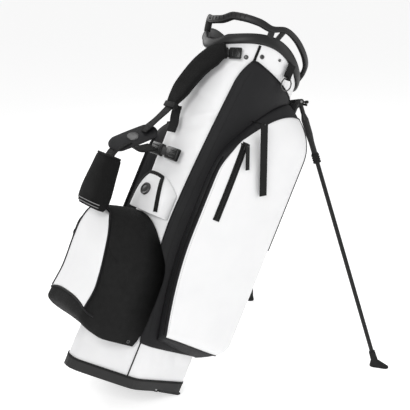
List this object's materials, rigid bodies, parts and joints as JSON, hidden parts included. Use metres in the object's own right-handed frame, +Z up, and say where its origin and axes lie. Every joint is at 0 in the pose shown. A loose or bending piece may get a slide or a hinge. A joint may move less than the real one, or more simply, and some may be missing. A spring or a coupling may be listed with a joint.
{
  "type": "golf stand bag",
  "caption": "Golf stand bag leaning on a hinged foot plate and two splayed legs, with a moulded collar and handles, side pockets, ball pocket and shoulder straps.",
  "frame": {"origin": "centre of the foot plate's ground face, on the ground", "axes": "+Z up, +X the way the bag leans and the legs open, +Y to the far side of the bag"},
  "size_m": [0.7781, 0.5976, 0.9048],
  "materials": {
    "fabric_black": "woven, matt",
    "leather_white": "grained synthetic leather",
    "leather_black": "grained synthetic leather",
    "plastic_black": "textured moulding",
    "rubber_black": "moulded",
    "foam_black": "air mesh over foam",
    "webbing_black": "ribbed webbing",
    "metal_dark": "dark plated",
    "steel": "satin",
    "tube_black": "black anodised"
  },
  "bodies": {
    "bag": {"collar_ring": "plastic_black", "handle_arch": "plastic_black", "club_divider": "plastic_black", "body_shell": "leather_white", "base_cup": "plastic_black", "base_piping": "rubber_black", "foot_pin": "steel", "leg_bracket": "plastic_black", "leg_pins": "steel", "spine_cover": "plastic_black", "near_pocket": "leather_white", "far_pocket": "leather_white", "near_side_panel": "leather_black", "far_side_panel": "leather_black", "near_zip_tape": "webbing_black", "far_zip_tape": "webbing_black", "tag_loop": "metal_dark", "ball_pocket": "fabric_black", "ball_pocket_front": "leather_white", "ball_pocket_rivets": "metal_dark", "valuables_pocket": "leather_white", "valuables_zip": "webbing_black", "pocket_badge": "metal_dark", "upper_shoulder_pad": "foam_black", "lower_shoulder_pad": "foam_black", "strap_hub": "plastic_black", "hub_disc": "metal_dark", "upper_webbing": "webbing_black", "lower_webbing": "webbing_black", "hub_side_webbing": "webbing_black", "strap_keeper": "webbing_black", "webbing_tail": "webbing_black", "top_buckle": "plastic_black", "side_buckle": "plastic_black", "collar_webbing": "webbing_black", "collar_rivets": "metal_dark"},
    "foot_plate": {"foot_plate": "plastic_black"},
    "actuator": {"actuator_rod": "steel", "actuator_yoke": "plastic_black"},
    "near_leg": {"near_leg_head": "plastic_black", "near_leg_tube": "tube_black", "near_leg_boot": "rubber_black", "near_leg_foot": "rubber_black"},
    "far_leg": {"far_leg_head": "plastic_black", "far_leg_tube": "tube_black", "far_leg_boot": "rubber_black", "far_leg_foot": "rubber_black"},
    "near_zip": {"near_zip_slider": "metal_dark"},
    "near_pull": {"near_zip_pull": "rubber_black"},
    "far_zip": {"far_zip_slider": "metal_dark"},
    "far_pull": {"far_zip_pull": "rubber_black"},
    "ribbon": {"ribbon_tag": "webbing_black"},
    "dee_ring": {"collar_dee_ring": "metal_dark"}
  },
  "joints": [
    {"name": "near_leg_hinge", "type": "hinge", "parent": "bag", "child": "near_leg", "pos_m": [0.37857, -0.0827, 0.68407], "axis": [-0.3597, -0.9149, 0.1833], "range_deg": [-40, 0]},
    {"name": "far_leg_hinge", "type": "hinge", "parent": "bag", "child": "far_leg", "pos_m": [0.37857, 0.0827, 0.68407], "axis": [0.3597, -0.9149, -0.1833], "range_deg": [-40, 0]},
    {"name": "push_rod_slide", "type": "slide", "parent": "bag", "child": "actuator", "axis": [0.4736, 0, 0.8807], "range_m": [-0.0124, 0]},
    {"name": "foot_plate_hinge", "type": "hinge", "parent": "bag", "child": "foot_plate", "pos_m": [-0.06641, 0, 0.03762], "axis": [0, 1, 0], "range_deg": [0, 8.81]},
    {"name": "near_zip_slide", "type": "slide", "parent": "bag", "child": "near_zip", "axis": [-0.454, 0, -0.891], "range_m": [0, 0.17]},
    {"name": "near_pull_swing", "type": "hinge", "parent": "near_zip", "child": "near_pull", "pos_m": [0.15175, -0.1678, 0.61557], "axis": [0, 1, 0], "range_deg": [-60, 60]},
    {"name": "far_zip_slide", "type": "slide", "parent": "bag", "child": "far_zip", "axis": [-0.454, 0, -0.891], "range_m": [0, 0.17]},
    {"name": "far_pull_swing", "type": "hinge", "parent": "far_zip", "child": "far_pull", "pos_m": [0.15175, 0.1678, 0.61557], "axis": [0, 1, 0], "range_deg": [-60, 60]},
    {"name": "ribbon_swing", "type": "hinge", "parent": "bag", "child": "ribbon", "pos_m": [0.19549, -0.1734, 0.66175], "axis": [0, 1, 0], "range_deg": [-30, 30]},
    {"name": "dee_ring_swing", "type": "hinge", "parent": "bag", "child": "dee_ring", "pos_m": [0.29636, -0.1345, 0.75401], "axis": [-0.891, 0, 0.454], "range_deg": [0, 50]}
  ],
  "couplings": [
    {"joint": "far_leg_hinge", "follows": "near_leg_hinge", "ratio": 1},
    {"joint": "push_rod_slide", "follows": "near_leg_hinge", "m_per_rad": 0.0176},
    {"joint": "foot_plate_hinge", "follows": "near_leg_hinge", "ratio": -0.22}
  ]
}
